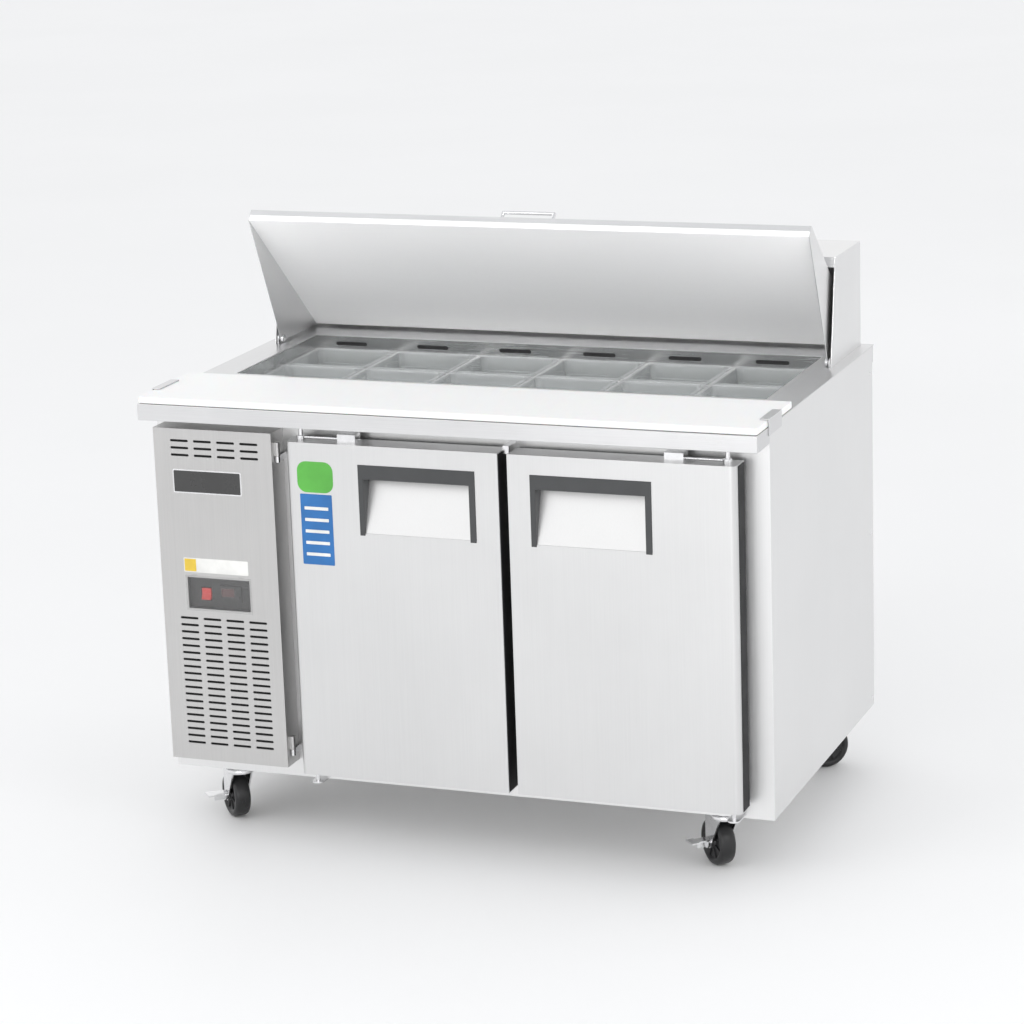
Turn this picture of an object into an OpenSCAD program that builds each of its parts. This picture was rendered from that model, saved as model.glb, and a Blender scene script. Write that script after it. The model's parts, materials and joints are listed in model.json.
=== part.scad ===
// Refrigerated sandwich prep table: a two-door cabinet beside a machine compartment, with a
// cutting board and a tilting lid over two rows of food pans, on four swivel casters.
// Millimetres. +Z is up and the front faces -Y. The origin is on the floor, under the centre
// of the whole object. The lid is drawn open, as the table stands in use.

/* [Cabinet] */
// Width over the side panels
width = 1206; // [1180:1:1240]
// Depth from the front apron to the rear cap
depth = 800; // [790:1:820]
// Height of the counter top above the floor
counter_h = 855; // [850:1:870]
// Height of the cabinet floor above the ground
clearance_h = 120; // [118:1:124]
// Thickness of the steel sheet
sheet = 1.5; // [1:0.1:2]
// Thickness of the foamed walls
foam_t = 38; // [30:1:40]
// How far the apron stands in front of the cabinet face
apron_out = 76; // [74:1:80]
// Height of the apron and of the counter frame
apron_h = 31; // [28:1:34]

/* [Pans] */
// Width of the pan opening
well_w = 1070; // [1066:1:1076]
// Number of pan columns
columns = 6; // [6:1:6]
// Outside width of one pan rim
pan_w = 176; // [174:1:176]
// Outside depth of one pan rim
pan_d = 162; // [160:1:162]
// Height of one pan
pan_h = 100; // [65:5:100]
// Depth of the pan rims below the counter top
pan_drop = 27; // [25:1:30]

/* [Board] */
// Front to back size of the cutting board
board_d = 222; // [200:1:226]
// Thickness of the cutting board
board_t = 12.7; // [10:0.1:13]

/* [Lid and hood] */
// Angle of the lid when it stands open
lid_open = 64; // [60:0.5:64]
// Height of the fixed rear hood above the counter
hood_h = 207; // [205:1:215]
// Width over the lid's end walls
lid_w = 1144; // [1136:1:1144]
// Width over the hood
hood_w = 1160; // [1158:1:1164]

/* [Doors] */
// Bottom of both doors above the floor
door_z = 148; // [146:1:152]
// Height of both doors
door_h = 647; // [640:1:650]
// Thickness of a door without its gasket
door_t = 51; // [48:1:52]
// Width of each door handle frame
handle_w = 230; // [220:1:240]
// Height of each door handle frame
handle_h = 134; // [120:1:140]
// Largest opening angle of the doors is 90 degrees; the pin's distance from the door's side
pin_in = 22; // [20:1:24]

/* [Machine panel] */
// Width of the swing-out machine panel
panel_w = 243; // [236:1:243]
// Height of the machine panel
panel_h = 652; // [640:1:656]
// Rows of louvre slots in the lower group
slot_rows = 19; // [12:1:19]
// Distance between two rows of slots
slot_pitch = 13.8; // [13:0.1:14]

/* [Casters] */
// Diameter of the caster wheels
wheel_d = 90; // [80:1:92]
// Width of the caster wheels
wheel_w = 32; // [28:1:32]
// Trail of the wheel behind the swivel axis
trail = 30; // [26:1:32]
// Direction in which the front casters trail, from +X
front_trail_angle = 135; // [0:5:355]
// Direction in which the rear casters trail, from +X
rear_trail_angle = 40; // [0:5:355]

/* [Hidden] */
CASTERS = ["caster_fl", "caster_fr", "caster_rl", "caster_rr"];
$fn = 48;

STEEL = [0.80, 0.81, 0.82];
DARK = [0.20, 0.20, 0.21];
BLACK = [0.07, 0.07, 0.07];
CHROME = [0.88, 0.88, 0.90];
WHITE = [0.95, 0.95, 0.94];
CLEAR = [0.85, 0.90, 0.92, 0.35];

// Play between a pin and its bore, on the radius
play = 0.05;
// Gap between pieces that move past each other
gap = 0.4;

side_x = width / 2;
apron_y = -depth / 2;
face_y = apron_y + apron_out;
cap_y = depth / 2;
back_y = cap_y - 14;
top_z = counter_h;
counter_t = 2;
under_z = top_z - counter_t;
apron_z = top_z - apron_h;
floor_z = clearance_h;

// The wall between the machine compartment on the left and the cold cabinet
split_x = -335;
cold_x = split_x + foam_t;
cold_back_y = back_y - sheet - foam_t;
cold_front_y = face_y + foam_t;
cold_z = floor_z + sheet + foam_t;
cold_top_z = 800;
liner_t = 1.2;

// Pan opening, and the pan rows inside it
well_x = well_w / 2;
well_front_y = face_y + 213;
well_back_y = face_y + 595;
well_t = 2;
well_z = 714;
rim_z = top_z - pan_drop;
rim_t = 2;
ledge_z = rim_z - rim_t;
column_w = well_w / columns;
row_y = [well_back_y - 1.5 - pan_d / 2, well_back_y - 5.5 - 1.5 * pan_d];
bar_w = 9;
pan_lip = 8;
pan_wall = 2.5;
ledge_t = 3;
rear_ledge = 5.5;
side_ledge = 4.5;
front_ledge_y = row_y[1] - pan_d / 2 + 4;
// Cold air slots behind the rear pans
air_slot = [68, 8];
air_slot_z = 838;
air_slot_shift = -12;

// Lid: pivot, and the section of the closed lid measured from it
pivot_y = face_y + 506.5;
pivot_z = top_z + 8;
lid_front = [-292.5, 1];
lid_back = [75.3, 149.6];
lid_slope = atan2(lid_back[1] - lid_front[1], lid_back[0] - lid_front[0]);
lid_length = norm(lid_back - lid_front);
lid_t = 24;
lid_pin_r = 4;
hood_x = hood_w / 2;
hood_front_y = face_y + 492;
hood_top_y = face_y + 529;
hood_z = top_z + hood_h;

// Doors: outer faces in X, and the pins they turn on
door_y = face_y - 63;
door_back_y = door_y + door_t;
door_top = door_z + door_h;
left_door_x = [-309, 111];
right_door_x = [129, 559];
pin_y = door_y + 25;
door_pin_r = 4;
opening_in = 26;
gasket_in = 14;
gasket_w = 18;
gasket_t = 10.8;

// Door handles: left edge of each, height, and depth of the pocket behind them
left_handle_x = left_door_x[0] + 144.5;
right_handle_x = right_door_x[0] + 43;
handle_z = door_z + 477;
handle_top = handle_z + handle_h;
handle_bar_h = 27;
handle_lip = 1.5;
pocket_d = 42;

// Machine panel, its slots and its hinge
panel_x = [-342 - panel_w, -342];
panel_y = face_y - 53;
panel_z = 154;
panel_pin = [-337, face_y - 37];
slot_h = 4.6;
slot_w = 37;
slot_columns = 4;
slot_step = 47.8;
slot_top_z = 437;
window_x = [-531, -402];
window_z = [457, 518];
// Control panel, set back behind the window, with its switch and its controller
control_y = panel_y + sheet + 10;
switch_x = [-508, -488];
switch_z = [472, 496];
controller_x = [-470, -424];
controller_z = [471, 503];
button_at = [-430.5, 480];
button_r = 3;
knuckle_h = 26;
knuckle_r = 5;
knuckle_pin_r = 2.5;
knuckle_z = [panel_z + 20, panel_z + panel_h - 58];

caster_x = side_x - 109;
caster_front_y = face_y + 48;
caster_back_y = face_y + 634;
axle_r = 3.5;
kingpin_r = 6;
fork_gap = wheel_w + 4;
fork_t = 3;
axle_z = wheel_d / 2;

// Condenser, its fan and the vents of the machine compartment
condenser_x = [-560, -380];
condenser_z = [215, 395];
condenser_y = face_y + 40;
core_d = 50;
shroud_d = 25;
fan_x = -470;
fan_z = 305;
fan_y = face_y + 118;
fan_r = 78;
motor_r = 32;
compressor_at = [-470, 120, floor_z + sheet];
compressor_r = 78;

evap_x = [-120, 300];
evap_z = [570, 690];
evap_y = cold_back_y - 70;
evap_fan_x = 90;
evap_fan_z = 630;
evap_fan_r = 48;

shelf_z = 430;
shelf_wires = 14;
wire_r = 2;
rod_r = 3;

// A box from its low corner to its high corner
module block(lo, hi) {
    translate(lo) cube(hi - lo);
}

// A round bar of radius r from point a along an axis: 0 is X, 1 is Y and 2 is Z
module bar(a, axis, length, r) {
    turn = [[0, 90, 0], [-90, 0, 0], [0, 0, 0]];
    translate(a) rotate(turn[axis]) cylinder(h = length, r = r);
}

// A rectangle with round corners, centred
module round_rect(w, d, r) {
    square([w - 2 * r, d], center = true);
    square([w, d - 2 * r], center = true);
    for (x = [-1, 1], y = [-1, 1])
        translate([x * (w / 2 - r), y * (d / 2 - r)]) circle(r = r);
}

// An outline in the Y-Z plane, extruded along X from x0 to x1
module side_profile(points, x0, x1) {
    translate([x0, 0, 0])
        rotate([90, 0, 90])
            linear_extrude(x1 - x0) polygon(points);
}

// An outline in the X-Z plane, extruded along +Y from y0 by t
module face_plate(y0, t) {
    translate([0, y0 + t, 0]) rotate([90, 0, 0]) linear_extrude(t) children();
}

// ---------- Cabinet ----------

module cabinet_shell() {
    color(STEEL) difference() {
        block([-side_x, face_y, floor_z], [side_x, back_y, under_z]);
        block([-side_x + sheet, face_y + sheet, floor_z + sheet],
              [side_x - sheet, back_y - sheet, under_z + 1]);
        for (x = [left_door_x, right_door_x])
            block([x[0] + opening_in, face_y - 1, door_z + opening_in],
                  [x[1] - opening_in, face_y + sheet + 1, door_top - opening_in]);
        block([panel_x[0] + 12, face_y - 1, panel_z + 10],
              [panel_x[1] - 12, face_y + sheet + 1, panel_z + panel_h - 10]);
        // Rear louvres of the machine compartment
        for (z = [200:22:486])
            block([condenser_x[0], back_y - sheet - 1, z], [condenser_x[1], back_y + 1, z + 8]);
        // Floor vent under the condenser
        block([condenser_x[0], face_y + 60, floor_z - 1],
              [condenser_x[1], face_y + 220, floor_z + sheet + 1]);
    }
}

module insulation() {
    x0 = -side_x + sheet;
    x1 = side_x - sheet;
    y0 = face_y + sheet;
    y1 = back_y - sheet;
    z0 = floor_z + sheet;
    color([0.92, 0.88, 0.70]) difference() {
        union() {
            block([split_x, y0, z0], [x1, y1, under_z]);
            block([x0, well_front_y - 40, 680], [split_x + 1, y1, under_z]);
        }
        // Cold cabinet, and the space for the pan well above it
        block([cold_x, cold_front_y, cold_z], [x1 - foam_t, cold_back_y, cold_top_z]);
        block([-well_x - 3, well_front_y - 3, well_z - 0.5],
              [well_x + 3, well_back_y + 3, under_z + 1]);
        for (x = [left_door_x, right_door_x])
            block([x[0] + opening_in, y0 - 1, door_z + opening_in],
                  [x[1] - opening_in, cold_front_y + 1, door_top - opening_in]);
    }
}

module cabinet_liner() {
    lo = [cold_x, cold_front_y, cold_z];
    hi = [side_x - sheet - foam_t, cold_back_y, cold_top_z];
    t = liner_t * [1, 1, 1];
    color([0.86, 0.87, 0.88]) difference() {
        block(lo, hi);
        block(lo + t, hi - t);
        block([-well_x - 3, well_front_y - 3, well_z - 1],
              [well_x + 3, well_back_y + 3, cold_top_z + 1]);
        for (x = [left_door_x, right_door_x])
            block([x[0] + opening_in, cold_front_y - 1, door_z + opening_in],
                  [x[1] - opening_in, cold_front_y + 3, door_top - opening_in]);
    }
}

module counter_top() {
    s = counter_t;
    color(STEEL) difference() {
        union() {
            block([-side_x, apron_y, under_z], [side_x, cap_y, top_z]);
            difference() {
                block([-side_x, apron_y, apron_z], [side_x, face_y + 5, under_z]);
                block([-side_x + s, apron_y + s, apron_z + s],
                      [side_x - s, face_y - s, under_z + 1]);
                block([-side_x - 1, face_y, apron_z - 1], [side_x + 1, face_y + 6, under_z]);
            }
            difference() {
                block([-side_x + 2, back_y, top_z - 35], [side_x - 2, cap_y, under_z]);
                block([-side_x + 4, back_y + s, top_z - 34], [side_x - 4, cap_y - s, under_z + 1]);
            }
        }
        block([-well_x, well_front_y, under_z - 1], [well_x, well_back_y, top_z + 1]);
    }
}

module pan_well() {
    color([0.78, 0.79, 0.80]) difference() {
        union() {
            difference() {
                block([-well_x - well_t, well_front_y - well_t, well_z],
                      [well_x + well_t, well_back_y + well_t, under_z]);
                block([-well_x, well_front_y, well_z + well_t],
                      [well_x, well_back_y, under_z + 1]);
                block([cold_x + 6, well_front_y, well_z - 1],
                      [well_x - 8, well_back_y, well_z + well_t + 1]);
            }
            // Ledges that carry the pan rims
            block([-well_x, well_front_y, ledge_z - ledge_t], [well_x, front_ledge_y, ledge_z]);
            block([-well_x, well_back_y - rear_ledge, ledge_z - ledge_t],
                  [well_x, well_back_y, ledge_z]);
            for (x = [-well_x, well_x - side_ledge])
                block([x, well_front_y, ledge_z - ledge_t], [x + side_ledge, well_back_y, ledge_z]);
        }
        // Cold air slots in the rear wall, one behind each column of pans
        for (i = [0:columns - 1])
            face_slot(-well_x + (i + 0.5) * column_w + air_slot_shift, well_back_y - 1,
                      air_slot_z, air_slot[0], air_slot[1], well_t + 2);
    }
}

// A slot with round ends through a plate that faces Y
module face_slot(x, y, z, w, h, t) {
    translate([x, y + t, z]) rotate([90, 0, 0]) linear_extrude(t) {
        square([w - h, h], center = true);
        for (s = [-1, 1])
            translate([s * (w - h) / 2, 0]) circle(d = h, $fn = 24);
    }
}

module pan_dividers() {
    half = bar_w / 2;
    middle = (row_y[0] + row_y[1]) / 2;
    z = [ledge_z - 12, ledge_z];
    spans = [[front_ledge_y + gap, middle - half - 0.1],
             [middle + half + 0.1, well_back_y - rear_ledge - gap]];
    color(STEEL) {
        for (i = [1:columns - 1], y = spans)
            block([-well_x + i * column_w - half, y[0], z[0]],
                  [-well_x + i * column_w + half, y[1], z[1]]);
        block([-well_x + 5, middle - half, z[0]], [well_x - 5, middle + half, z[1]]);
    }
}

// Pans are numbered from the left, the rear row first
module pan(n) {
    column = (n - 1) % columns;
    row = floor((n - 1) / columns);
    w = pan_w - 2 * pan_lip;
    d = pan_d - 2 * pan_lip;
    wall = pan_wall;
    color(CLEAR)
        translate([-well_x + (column + 0.5) * column_w, row_y[row], rim_z - pan_h + gap])
            difference() {
                union() {
                    linear_extrude(pan_h) round_rect(w, d, 14);
                    translate([0, 0, pan_h - rim_t]) linear_extrude(rim_t)
                        round_rect(pan_w, pan_d, 10);
                }
                translate([0, 0, wall]) linear_extrude(pan_h)
                    round_rect(w - 2 * wall, d - 2 * wall, 12);
            }
}

module rear_hood() {
    outer = [[hood_front_y, top_z], [hood_top_y, hood_z], [back_y, hood_z], [back_y, top_z]];
    inner = [[hood_front_y - 60, top_z - 60], [hood_top_y - 60, hood_z - sheet],
             [back_y - sheet, hood_z - sheet], [back_y - sheet, top_z - 60]];
    color(STEEL) union() {
        difference() {
            side_profile(outer, -hood_x, hood_x);
            side_profile(inner, -hood_x + sheet, hood_x - sheet);
        }
        // Flange turned down along the top front edge
        block([-hood_x + 1, hood_top_y, hood_z - 20], [hood_x - 1, hood_top_y + sheet, hood_z - 1]);
    }
}

module cutting_board() {
    color(WHITE)
        translate([0, apron_y + 3 + board_d / 2, top_z + gap])
            linear_extrude(board_t) round_rect(width - 2, board_d, 5);
}

module board_clips() {
    z = top_z + board_t + 2 * gap;
    color(STEEL) for (s = [-1, 1]) mirror([s > 0 ? 0 : 1, 0, 0]) {
        block([side_x, face_y - 8, top_z - 15], [side_x + 2, face_y + 72, z + 2]);
        block([side_x - 16, face_y - 8, z], [side_x, face_y + 72, z + 2]);
    }
}

// Brackets fixed to the cabinet: two for each door, two for the machine panel, and the two
// ears that hold the lid's pins
module hinge_brackets() {
    color(CHROME) {
        door_brackets(left_door_x[0] + pin_in, -1);
        door_brackets(right_door_x[1] - pin_in, 1);
        for (z = knuckle_z) panel_bracket(z);
        for (s = [-1, 1]) lid_ear(s);
        // Stop plate between the doors
        stop = [left_door_x[1] + 3, right_door_x[0] - 3];
        block([stop[0], door_y + 20, apron_z - 22], [stop[1], face_y, apron_z - 19]);
        block([stop[0], door_y + 20, apron_z - 34], [stop[1], door_y + 22, apron_z - 19]);
    }
}

module door_brackets(x, side) {
    // The upper plate lies under the apron, the lower one stands out from the cabinet face
    for (z = [apron_z - 3, floor_z + 6]) difference() {
        union() {
            block([x - 12, pin_y, z], [x + 12, face_y, z + 3]);
            bar([x, pin_y, z], 2, 3, 12);
        }
        bar([x, pin_y, z - 1], 2, 5, door_pin_r + play);
    }
}

module panel_bracket(z) {
    bar([panel_pin[0], panel_pin[1], z], 2, 12, knuckle_r);
    bar([panel_pin[0], panel_pin[1], z + 11], 2, knuckle_h - 1, knuckle_pin_r);
    block([panel_pin[0] - 1, panel_pin[1] + 3, z], [panel_pin[0] + 1, face_y, z + 12]);
}

module lid_ear(side) {
    x = lid_w / 2 + 2;
    difference() {
        mirror([side > 0 ? 0 : 1, 0, 0]) union() {
            block([x, pivot_y - 12, top_z], [x + 2.5, pivot_y + 12, pivot_z]);
            bar([x, pivot_y, pivot_z], 0, 2.5, 12);
        }
        bar([-side_x, pivot_y, pivot_z], 0, width, lid_pin_r + play);
        block([-side_x, pivot_y - 20, top_z - 20], [side_x, pivot_y + 20, top_z]);
    }
}

// ---------- Lid ----------

// Places children drawn for the closed lid, whose pivot is at the origin of Y and Z
module lid_place() {
    translate([0, pivot_y, pivot_z]) rotate([-lid_open, 0, 0]) children();
}

// A point of the closed lid's section: s along the panel from its free edge, n outwards
function lid_point(s, n) = lid_front + [s * cos(lid_slope) - n * sin(lid_slope),
                                        s * sin(lid_slope) + n * cos(lid_slope)];

module lid_shell() {
    half = lid_w / 2;
    panel = [lid_point(0, lid_t / 2), lid_point(0, lid_t), lid_point(lid_length, lid_t),
             lid_point(lid_length, lid_t / 2)];
    wall = [[0, -6], [6, 0], lid_point(lid_length, lid_t), lid_point(0, lid_t),
            lid_point(0, 0), [-8, -6]];
    color(STEEL) lid_place() difference() {
        union() {
            side_profile(panel, -half, half);
            side_profile(wall, -half, -half + sheet);
            side_profile(wall, half - sheet, half);
        }
        bar([-half - 1, 0, 0], 0, lid_w + 2, lid_pin_r);
    }
}

module lid_liner() {
    half = lid_w / 2 - sheet;
    color([0.86, 0.87, 0.88]) lid_place()
        side_profile([lid_point(0, 0), lid_point(0, lid_t / 2),
                      lid_point(lid_length, lid_t / 2), lid_point(lid_length, 0)], -half, half);
}

module lid_pins() {
    x = lid_w / 2;
    color(CHROME) lid_place() for (s = [-1, 1]) mirror([s > 0 ? 0 : 1, 0, 0]) {
        bar([x - 6, 0, 0], 0, 4.4, 8);
        bar([x - 2, 0, 0], 0, 7, lid_pin_r);
    }
}

module lid_handle() {
    grip = 105;
    r = 3.5;
    base = lid_point(25, lid_t);
    top = lid_point(25, lid_t + 26);
    color(CHROME) lid_place() {
        bar([-grip / 2, top[0], top[1]], 0, grip, r);
        for (s = [-1, 1]) translate([s * grip / 2, base[0], base[1]])
            rotate([lid_slope, 0, 0]) {
                cylinder(h = 26, r = r);
                cylinder(h = 1.5, r = 9);
                translate([0, 0, 26]) sphere(r = r);
            }
    }
}

// ---------- Doors ----------

// Outline of a door seen from above; the outer corner away from the other door is rounded
module door_outline(x, side, inset) {
    r = 12 - inset;
    x0 = x[0] + inset;
    x1 = x[1] - inset;
    y0 = door_y + inset;
    corner = side > 0 ? x1 - r : x0 + r;
    difference() {
        translate([x0, y0]) square([x1 - x0, door_back_y - y0]);
        translate([side > 0 ? corner : x0 - 1, y0 - 1]) square([r + 1, r + 1]);
    }
    translate([corner, y0 + r]) circle(r = r);
}

// Space behind the handle frame: deep at the top, running out to the skin at the bottom
module pocket(x) {
    side_profile([[door_y - 1, handle_z], [door_y + 2, handle_z],
                  [door_y + pocket_d, handle_top], [door_y - 1, handle_top]], x, x + handle_w);
}

module door_skin(x, side, handle_x) {
    color(STEEL) union() {
        difference() {
            translate([0, 0, door_z]) linear_extrude(door_h) door_outline(x, side, 0);
            translate([0, 0, door_z + sheet]) linear_extrude(door_h - 2 * sheet)
                door_outline(x, side, sheet);
            // The back is open; the inner panel closes it
            block([x[0] + sheet, door_back_y - 2, door_z + sheet],
                  [x[1] - sheet, door_back_y + 1, door_top - sheet]);
            pocket(handle_x);
        }
        pocket_floor(handle_x);
    }
}

// Bright sheet that forms the sloping back of the pocket
module pocket_floor(x) {
    t = sheet;
    side_profile([[door_y, handle_z], [door_y + 2, handle_z],
                  [door_y + pocket_d, handle_top], [door_y + pocket_d - t, handle_top],
                  [door_y + t, handle_z + 4], [door_y, handle_z + 4]],
                 x, x + handle_w);
}

module door_liner(x, side, handle_x) {
    color([0.90, 0.90, 0.90]) difference() {
        translate([0, 0, door_z + sheet]) linear_extrude(door_h - 2 * sheet)
            door_outline(x, side, sheet);
        pocket(handle_x);
        // Dished inner face
        block([x[0] + 50, door_back_y - 8, door_z + 50],
              [x[1] - 50, door_back_y + 1, door_top - 50]);
    }
}

module door_gasket(x) {
    lo = [x[0] + gasket_in, door_back_y, door_z + gasket_in];
    hi = [x[1] - gasket_in, door_back_y + gasket_t, door_top - gasket_in];
    w = gasket_w;
    color(BLACK) difference() {
        block(lo, hi);
        block(lo + [w, -1, w], hi + [-w, 1, -w]);
    }
}

// Frame of the grip: a top bar to pull on, two side cheeks and no bottom bar
module door_handle(x) {
    front = door_y - handle_lip;
    behind = door_y + pocket_d + 18;
    top = handle_top;
    color(DARK) difference() {
        block([x, front, handle_z], [x + handle_w, door_y + pocket_d - 1, top]);
        // Finger space
        difference() {
            block([x + 10, front - 1, handle_z - 1], [x + handle_w - 12, behind, top - 4]);
            block([x, front, top - handle_bar_h], [x + handle_w, door_y + 8, top]);
        }
        // Everything behind the sloping sheet
        side_profile([[door_y, handle_z - 1], [door_y, handle_z + 4],
                      [door_y + sheet, handle_z + 4], [door_y + pocket_d - sheet, top],
                      [door_y + pocket_d - sheet, top + 1], [behind, top + 1],
                      [behind, handle_z - 1]], x - 1, x + handle_w + 1);
    }
}

// Pins that turn in the brackets, and the self-closing cartridge with its rod
module door_hinge(x, side) {
    collar_r = 8;
    half = 18;
    box_x = x - side * 96;
    rod = [x - side * collar_r, box_x + side * half];
    color(CHROME) {
        bar([x, pin_y, floor_z + 4], 2, door_z - floor_z - 4, door_pin_r);
        bar([x, pin_y, door_top], 2, apron_z - door_top, door_pin_r);
        bar([x, pin_y, door_top], 2, 8, collar_r);
        block([box_x - half, pin_y - 12, door_top], [box_x + half, pin_y + 14, door_top + 16]);
        bar([min(rod), pin_y, door_top + 5], 0, max(rod) - min(rod), rod_r);
    }
}

module left_door_skin() { door_skin(left_door_x, -1, left_handle_x); }
module left_door_liner() { door_liner(left_door_x, -1, left_handle_x); }
module left_door_gasket() { door_gasket(left_door_x); }
module left_door_handle() { door_handle(left_handle_x); }
module left_door_hinge() { door_hinge(left_door_x[0] + pin_in, -1); }
module right_door_skin() { door_skin(right_door_x, 1, right_handle_x); }
module right_door_liner() { door_liner(right_door_x, 1, right_handle_x); }
module right_door_gasket() { door_gasket(right_door_x); }
module right_door_handle() { door_handle(right_handle_x); }
module right_door_hinge() { door_hinge(right_door_x[1] - pin_in, 1); }

// ---------- Machine compartment ----------

function slot_rows_z() = concat([for (i = [0:2]) panel_z + 629 - i * slot_pitch],
                                [for (i = [0:slot_rows - 1]) slot_top_z - i * slot_pitch]);

module panel_cutouts() {
    centre = (panel_x[0] + panel_x[1]) / 2 + 3.5;
    for (z = slot_rows_z(), i = [0:slot_columns - 1])
        translate([centre + (i - (slot_columns - 1) / 2) * slot_step, z]) {
            square([slot_w - slot_h, slot_h], center = true);
            for (s = [-1, 1])
                translate([s * (slot_w - slot_h) / 2, 0]) circle(d = slot_h, $fn = 24);
        }
    translate([window_x[0], window_z[0]])
        square([window_x[1] - window_x[0], window_z[1] - window_z[0]]);
}

module machine_panel() {
    x0 = panel_x[0];
    x1 = panel_x[1];
    z1 = panel_z + panel_h;
    color([0.74, 0.75, 0.76]) union() {
        face_plate(panel_y, sheet) difference() {
            translate([x0, panel_z]) square([panel_w, panel_h]);
            panel_cutouts();
        }
        difference() {
            block([x0, panel_y + sheet, panel_z], [x1, face_y - gap, z1]);
            block([x0 + sheet, panel_y, panel_z + sheet], [x1 - sheet, face_y, z1 - sheet]);
        }
        // Moving knuckles of the two hinges
        for (z = knuckle_z) panel_knuckle(z + 12 + gap);
    }
}

module panel_knuckle(z) {
    difference() {
        union() {
            bar([panel_pin[0], panel_pin[1], z], 2, knuckle_h, knuckle_r);
            block([panel_x[1] - 1, panel_pin[1] - knuckle_r, z],
                  [panel_pin[0], panel_pin[1] - 2.9, z + knuckle_h]);
        }
        bar([panel_pin[0], panel_pin[1], z - 1], 2, knuckle_h + 2, knuckle_pin_r + play);
    }
}

module control_box() {
    lo = [window_x[0], panel_y + sheet, window_z[0]];
    hi = [window_x[1], panel_y + 40, window_z[1]];
    color(DARK) difference() {
        block(lo - [6, 0, 6], hi + [6, 0, 6]);
        block([lo[0], lo[1] - 1, lo[2]], [hi[0], lo[1] + 10, hi[2]]);
        // Cut-outs for the switch, the controller and its button
        block([switch_x[0] - 1, lo[1], switch_z[0] - 1], [switch_x[1] + 1, hi[1] - 8, switch_z[1] + 1]);
        block([controller_x[0], lo[1], controller_z[0]], [controller_x[1], hi[1] - 8, controller_z[1]]);
    }
}

module control_cover() {
    x = window_x;
    z = window_z;
    y = panel_y - 2.5;
    color([0.85, 0.86, 0.88, 0.4]) union() {
        block([x[0] - 4, y, z[0] - 4], [x[1] + 4, y + 2, z[1] + 4]);
        for (x0 = [x[0] + 10, x[1] - 22]) bar([x0, y + 1, z[1] + 5], 0, 12, 1);
    }
}

module rocker_switch() {
    y = control_y;
    low = switch_z[0] + 1;
    high = switch_z[1] - 1;
    mid = (low + high) / 2;
    color([0.75, 0.08, 0.06])
        side_profile([[y - 1, low], [y - 5, low], [y - 1, mid], [y - 1, mid + 0.5], [y - 1.5, high],
                      [y + 4, high], [y + 12, mid + 2], [y + 12, mid - 2], [y + 4, low]],
                     switch_x[0] + 0.5, switch_x[1] - 0.5);
}

module temperature_controller() {
    y = control_y;
    color(BLACK) difference() {
        block([controller_x[0] + gap, y - 3, controller_z[0] + gap],
              [controller_x[1] - gap, y + 20, controller_z[1] - gap]);
        bar([button_at[0], y - 4, button_at[1]], 1, 10, button_r + 0.3);
    }
}

module controller_button() {
    color([0.6, 0.6, 0.6])
        bar([button_at[0], control_y - 4.5, button_at[1]], 1, 8.5, button_r);
}

module compressor() {
    r = compressor_r;
    wall_h = 110;
    dome_drop = 60;
    color(BLACK) translate(compressor_at) {
        // Straight shell with a domed top
        translate([0, 0, 26]) rotate_extrude() union() {
            square([r, wall_h]);
            translate([0, wall_h]) intersection() {
                translate([0, -dome_drop]) circle(r = norm([r, dome_drop]));
                square([r, dome_drop]);
            }
        }
        translate([0, 0, 12]) linear_extrude(14) round_rect(190, 130, 20);
        for (x = [-80, 80], y = [-50, 50]) translate([x, y, 0]) cylinder(h = 12, r = 12);
        block([-30, -104, 60], [30, -70, 120]);
    }
}

module condenser() {
    x = condenser_x;
    y = condenser_y;
    z = condenser_z;
    strap_y = fan_y + 50;
    color([0.70, 0.72, 0.73]) {
        // Finned core with its tubes' bends at the sides
        union() {
            block([x[0], y, z[0]], [x[1], y + core_d, z[1]]);
            for (tube_z = [z[0] + 15:30:z[1]])
                bar([x[0] - 6, y + core_d / 2, tube_z], 0, x[1] - x[0] + 12, 5);
        }
        // Shroud with the fan's round opening
        difference() {
            block([x[0] - 8, y + core_d + 1, z[0] - 6], [x[1] + 8, y + core_d + shroud_d, z[1] + 6]);
            block([x[0] - 6, y + core_d, z[0] - 4], [x[1] + 6, y + core_d + shroud_d - 2, z[1] + 4]);
            bar([fan_x, y + core_d, fan_z], 1, shroud_d + 1, fan_r + 4);
        }
        // Legs
        for (leg_x = [x[0], x[1] - 3])
            block([leg_x, y, floor_z + sheet], [leg_x + 3, y + core_d, z[0] - 0.1]);
        // Fan motor on a strap
        bar([fan_x, strap_y - 20, fan_z], 1, 50, motor_r);
        bar([fan_x, fan_y, fan_z], 1, 31, 4);
        block([x[0] - 6, strap_y, fan_z - 8], [fan_x - motor_r + 1, strap_y + 4, fan_z + 8]);
        block([fan_x + motor_r - 1, strap_y, fan_z - 8], [x[1] + 6, strap_y + 4, fan_z + 8]);
    }
}

// A fan whose shaft runs along Y from its rear face at y
module fan(x, y, z, r, blades, shaft_r) {
    color(BLACK) translate([x, y, z]) rotate([-90, 0, 0]) difference() {
        union() {
            cylinder(h = 18, r = r * 0.26);
            for (i = [0:blades - 1]) rotate([0, 0, 360 / blades * i])
                translate([r * 0.2, 0, 9]) rotate([35, 0, 0])
                    translate([0, -r * 0.22, -1]) cube([r * 0.78, r * 0.44, 2]);
        }
        translate([0, 0, -1]) cylinder(h = 20, r = shaft_r + play);
    }
}

module condenser_fan() { fan(fan_x, fan_y + 4, fan_z, fan_r, 5, 4); }

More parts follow.
